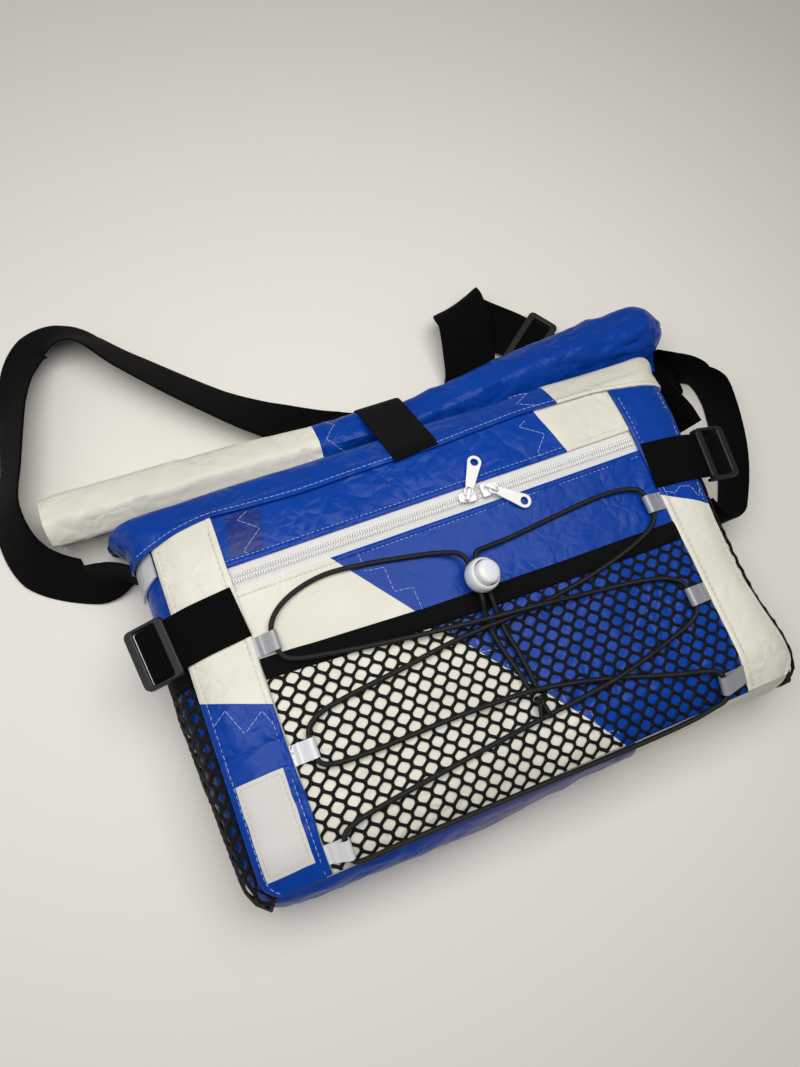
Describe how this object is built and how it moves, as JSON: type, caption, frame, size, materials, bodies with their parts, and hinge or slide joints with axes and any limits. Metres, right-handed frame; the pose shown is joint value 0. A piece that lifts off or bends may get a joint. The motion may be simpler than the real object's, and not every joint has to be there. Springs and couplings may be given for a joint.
{
  "type": "roll-top messenger bag",
  "caption": "Soft box-shaped shoulder bag with a rolled and strapped top, zipped front, laced net pocket and webbing shoulder strap, lying on its back.",
  "frame": {"origin": "middle of the flat back panel, on the surface that the bag lies on", "axes": "+X across the bag to the right, +Y from the base to the rolled top, +Z out of the front panel"},
  "size_m": [0.4979, 0.4099, 0.0926],
  "materials": {
    "sailcloth_blue": "smooth crinkled sailcloth",
    "sailcloth_white": "smooth crinkled sailcloth",
    "webbing": "matt ribbed weave",
    "net": "matt knit",
    "bungee": "satin braid",
    "zip_tape": "matt woven tape and coil",
    "zip_metal": "white satin paint",
    "lock_plastic": "satin",
    "buckle_plastic": "fine matt grain",
    "reflective_tape": "silver reflective coating",
    "label_cloth": "matt plain weave"
  },
  "bodies": {
    "bag": {"back_panel": "sailcloth_blue", "left_gusset": "sailcloth_blue", "right_gusset": "sailcloth_blue", "base_gusset_blue": "sailcloth_blue", "base_gusset_white": "sailcloth_white", "lower_panel_white": "sailcloth_white", "lower_panel_blue": "sailcloth_blue", "zip_band_blue": "sailcloth_blue", "zip_band_white": "sailcloth_white", "left_strip_white": "sailcloth_white", "left_strip_blue": "sailcloth_blue", "right_strip_blue": "sailcloth_blue", "right_strip_white": "sailcloth_white", "collar_blue": "sailcloth_blue", "collar_white": "sailcloth_white", "roll_white": "sailcloth_white", "roll_blue": "sailcloth_blue", "closure_strap": "webbing", "zip_tape": "zip_tape", "zip_coil": "zip_tape", "zip_slider_left": "zip_metal", "zip_slider_right": "zip_metal", "front_net": "net", "front_net_binding": "net", "left_net": "net", "left_net_binding": "net", "right_net": "net", "right_net_binding": "net", "cord_loop_left_1": "reflective_tape", "cord_loop_left_2": "reflective_tape", "cord_loop_left_3": "reflective_tape", "cord_loop_right_1": "reflective_tape", "cord_loop_right_2": "reflective_tape", "cord_loop_right_3": "reflective_tape", "bungee_cord": "bungee", "bungee_knot": "bungee", "cord_lock_body": "lock_plastic", "left_tab": "webbing", "right_tab": "webbing", "left_triglide": "buckle_plastic", "right_triglide": "buckle_plastic", "right_anchor": "webbing", "shoulder_strap": "webbing", "shoulder_slider": "buckle_plastic", "label_patch": "label_cloth"},
    "pull_left": {"zip_pull_left": "zip_metal"},
    "pull_right": {"zip_pull_right": "zip_metal"},
    "lock_button": {"cord_lock_button": "lock_plastic"}
  },
  "joints": [
    {"name": "pull_left_swing", "type": "hinge", "parent": "bag", "child": "pull_left", "pos_m": [0.015, 0.0615, 0.075], "axis": [0.829, -0.5592, 0], "range_deg": [0, 115]},
    {"name": "pull_right_swing", "type": "hinge", "parent": "bag", "child": "pull_right", "pos_m": [0.0295, 0.0615, 0.075], "axis": [-0.6293, -0.7771, 0], "range_deg": [0, 115]},
    {"name": "lock_button_press", "type": "slide", "parent": "bag", "child": "lock_button", "axis": [-0.342, 0, -0.9397], "range_m": [0, 0.003], "stiffness_N_per_m": 400}
  ]
}
